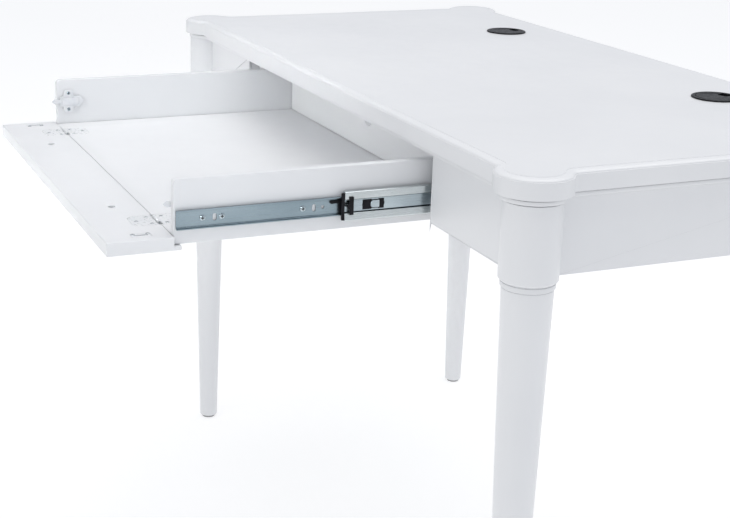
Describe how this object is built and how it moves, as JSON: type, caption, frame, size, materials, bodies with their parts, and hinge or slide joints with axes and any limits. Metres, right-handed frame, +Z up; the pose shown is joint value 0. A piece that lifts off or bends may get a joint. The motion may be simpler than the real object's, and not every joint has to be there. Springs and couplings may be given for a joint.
{
  "type": "writing desk",
  "caption": "Rectangular white writing desk on turned legs, with a centre keyboard drawer whose front drops down level with its bottom.",
  "frame": {"origin": "bottom centre of the box round the desk with its drawer out and its front dropped, on the floor", "axes": "+X along the long side, to the sitting user's right; +Z up; the user sits on the -Y side"},
  "size_m": [1.2054, 0.9798, 0.7641],
  "materials": {
    "white_paint": "satin white lacquer",
    "corner_wood": "bare softwood",
    "zinc_steel": "zinc plated, slightly blue",
    "white_metal": "satin white",
    "satin_nickel": "satin nickel",
    "black_plastic": "fine grained",
    "grey_plastic": "plain",
    "milky_plastic": "milky nylon"
  },
  "bodies": {
    "root": {"desktop": "white_paint", "under_top_board": "white_paint", "leg_front_left": "white_paint", "leg_front_right": "white_paint", "leg_back_left": "white_paint", "leg_back_right": "white_paint", "foot_glide_front_left": "grey_plastic", "foot_glide_front_right": "grey_plastic", "foot_glide_back_left": "grey_plastic", "foot_glide_back_right": "grey_plastic", "corner_block_front_left": "corner_wood", "corner_block_front_right": "corner_wood", "corner_block_back_left": "corner_wood", "corner_block_back_right": "corner_wood", "leg_bolt_front_left": "zinc_steel", "leg_bolt_front_right": "zinc_steel", "leg_bolt_back_left": "zinc_steel", "leg_bolt_back_right": "zinc_steel", "apron_left": "white_paint", "apron_right": "white_paint", "apron_back": "white_paint", "front_panel_left": "white_paint", "front_panel_right": "white_paint", "divider_left": "white_paint", "divider_right": "white_paint", "front_stretcher": "white_paint", "grommet_liner_left": "black_plastic", "grommet_liner_right": "black_plastic", "slide_outer_left": "zinc_steel", "slide_outer_right": "zinc_steel"},
    "grommet_cap_left": {"grommet_cap_left": "black_plastic"},
    "grommet_cap_right": {"grommet_cap_right": "black_plastic"},
    "slide_middle_left": {"slide_middle_left": "zinc_steel", "slide_bumper_left": "black_plastic"},
    "slide_middle_right": {"slide_middle_right": "zinc_steel", "slide_bumper_right": "black_plastic"},
    "drawer": {"drawer_bottom": "white_paint", "drawer_side_left": "white_paint", "drawer_side_right": "white_paint", "drawer_back": "white_paint", "slide_inner_left": "zinc_steel", "slide_inner_right": "zinc_steel", "strike_spear_left": "milky_plastic", "strike_spear_right": "milky_plastic", "hinge_leaf_drawer_left": "white_metal", "hinge_leaf_drawer_right": "white_metal"},
    "release_lever_left": {"release_lever_left": "black_plastic"},
    "release_lever_right": {"release_lever_right": "black_plastic"},
    "drop_front": {"drop_front": "white_paint", "knob_left": "satin_nickel", "knob_right": "satin_nickel", "knob_screw_left": "zinc_steel", "knob_screw_right": "zinc_steel", "hinge_leaf_front_left": "white_metal", "hinge_leaf_front_right": "white_metal", "hinge_pin_left": "zinc_steel", "hinge_pin_right": "zinc_steel", "spring_catch_left": "milky_plastic", "spring_catch_right": "milky_plastic"}
  },
  "joints": [
    {"name": "drawer_slide", "type": "slide", "parent": "root", "child": "drawer", "axis": [0, 1, 0], "range_m": [0, 0.343]},
    {"name": "slide_middle_left_travel", "type": "slide", "parent": "root", "child": "slide_middle_left", "axis": [0, 1, 0], "range_m": [0, 0.1325]},
    {"name": "slide_middle_right_travel", "type": "slide", "parent": "root", "child": "slide_middle_right", "axis": [0, 1, 0], "range_m": [0, 0.1325]},
    {"name": "front_hinge", "type": "hinge", "parent": "drawer", "child": "drop_front", "pos_m": [0, -0.4085, 0.647], "axis": [-1, 0, 0], "range_deg": [0, 90]},
    {"name": "cap_left_turn", "type": "hinge", "parent": "root", "child": "grommet_cap_left", "pos_m": [-0.2885, 0.3677, 0.762], "axis": [0, 0, 1], "continuous": true},
    {"name": "cap_right_turn", "type": "hinge", "parent": "root", "child": "grommet_cap_right", "pos_m": [0.2885, 0.3677, 0.762], "axis": [0, 0, 1], "continuous": true},
    {"name": "lever_left_press", "type": "hinge", "parent": "drawer", "child": "release_lever_left", "pos_m": [-0.3179, -0.2008, 0.666], "axis": [1, 0, 0], "range_deg": [0, 6], "stiffness_Nm_per_rad": 0.05},
    {"name": "lever_right_press", "type": "hinge", "parent": "drawer", "child": "release_lever_right", "pos_m": [0.3179, -0.2008, 0.666], "axis": [1, 0, 0], "range_deg": [0, 6], "stiffness_Nm_per_rad": 0.05}
  ],
  "couplings": [
    {"joint": "slide_middle_left_travel", "follows": "drawer_slide", "ratio": 0.386},
    {"joint": "slide_middle_right_travel", "follows": "drawer_slide", "ratio": 0.386}
  ]
}
